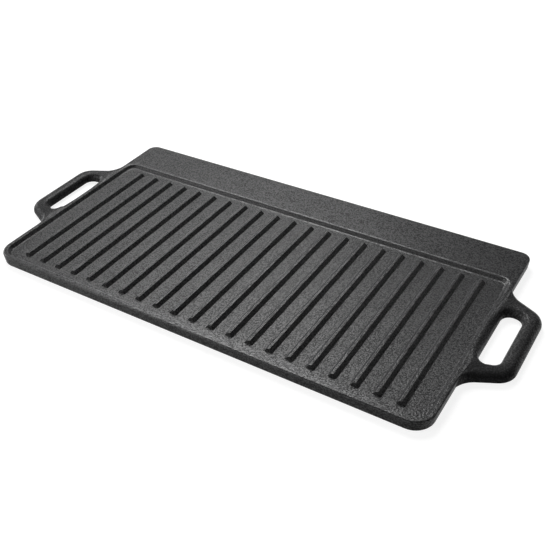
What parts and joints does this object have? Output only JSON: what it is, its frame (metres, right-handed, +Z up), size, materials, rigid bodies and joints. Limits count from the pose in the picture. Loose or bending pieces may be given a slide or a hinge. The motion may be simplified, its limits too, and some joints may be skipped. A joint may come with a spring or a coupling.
{
  "type": "camp griddle plate",
  "caption": "Rectangular cast-iron griddle plate: a ribbed pool inside a low rim, a flat rear ledge, a loop handle at each end and a flat griddle face underneath.",
  "frame": {"origin": "centre of the underside, on the surface that the plate stands on", "axes": "+X along the plate to the right handle, +Y from the front edge to the rear ledge, +Z up"},
  "size_m": [0.508, 0.2398, 0.0105],
  "materials": {
    "cast_iron": "seasoned sand-cast iron, matt with a soft sheen"
  },
  "bodies": {
    "root": {"base_plate": "cast_iron", "front_rim": "cast_iron", "left_rim": "cast_iron", "right_rim": "cast_iron", "rear_ledge": "cast_iron", "reverse_front_rim": "cast_iron", "reverse_rear_rim": "cast_iron", "reverse_left_rim": "cast_iron", "reverse_right_rim": "cast_iron", "left_handle": "cast_iron", "right_handle": "cast_iron", "rib_01": "cast_iron", "rib_02": "cast_iron", "rib_03": "cast_iron", "rib_04": "cast_iron", "rib_05": "cast_iron", "rib_06": "cast_iron", "rib_07": "cast_iron", "rib_08": "cast_iron", "rib_09": "cast_iron", "rib_10": "cast_iron", "rib_11": "cast_iron", "rib_12": "cast_iron", "rib_13": "cast_iron", "rib_14": "cast_iron", "rib_15": "cast_iron", "rib_16": "cast_iron", "rib_17": "cast_iron", "rib_18": "cast_iron", "rib_19": "cast_iron", "rib_20": "cast_iron", "rib_21": "cast_iron"}
  },
  "joints": []
}
